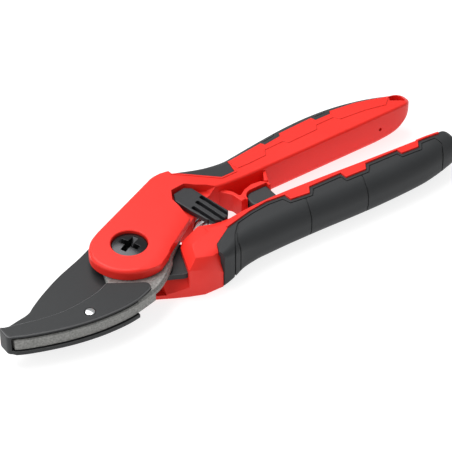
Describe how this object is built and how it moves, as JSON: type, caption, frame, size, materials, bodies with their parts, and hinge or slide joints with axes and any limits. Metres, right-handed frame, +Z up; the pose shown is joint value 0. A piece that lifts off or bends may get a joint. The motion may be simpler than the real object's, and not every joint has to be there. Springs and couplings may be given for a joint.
{
  "type": "pruning shears",
  "caption": "Bypass pruning shears with red and black two-part handles, a curved blade, a covered counter-blade, a thumb lock lever and a return spring",
  "frame": {"origin": "centre of the bottom of the bounding box, with the tool closed and lying on its side", "axes": "+X from the jaws towards the handle ends, +Y towards the handle that carries the counter-blade, +Z up out of the side that shows the screw head"},
  "size_m": [0.2078, 0.0562, 0.018],
  "materials": {
    "red_plastic": "satin moulded",
    "soft_black": "matte, fine grain",
    "coated_steel": "low-friction coating, satin",
    "grey_metal": "sintered, fine grain",
    "bright_steel": "bright",
    "dark_chrome": "dark bright plating",
    "black_plastic": "satin moulded"
  },
  "bodies": {
    "upper_handle": {"upper_handle": "red_plastic", "upper_grip": "soft_black", "anvil_arm": "grey_metal", "anvil_cover": "coated_steel", "cover_rivet": "bright_steel", "arm_pin_1": "bright_steel", "arm_pin_2": "bright_steel", "bumper": "soft_black", "pivot_screw": "dark_chrome", "screw_washer": "bright_steel", "pivot_nut": "bright_steel", "lever_pin": "bright_steel", "spring_seat_upper": "bright_steel", "return_spring": "bright_steel"},
    "lower_handle": {"lower_handle": "red_plastic", "lower_grip": "soft_black", "blade": "coated_steel", "blade_pin_1": "bright_steel", "blade_pin_2": "bright_steel", "pivot_bush": "bright_steel", "spring_seat_lower": "bright_steel"},
    "lock_lever": {"lock_lever": "black_plastic"}
  },
  "joints": [
    {"name": "handle_open", "type": "hinge", "parent": "upper_handle", "child": "lower_handle", "pos_m": [-0.0414, -0.00095, 0.009], "axis": [0, 0, -1], "range_deg": [0, 32], "deforming": ["return_spring"]},
    {"name": "lock_turn", "type": "hinge", "parent": "upper_handle", "child": "lock_lever", "pos_m": [-0.0075, 0.01085, 0.015], "axis": [0, 0, 1], "range_deg": [0, 34]}
  ]
}
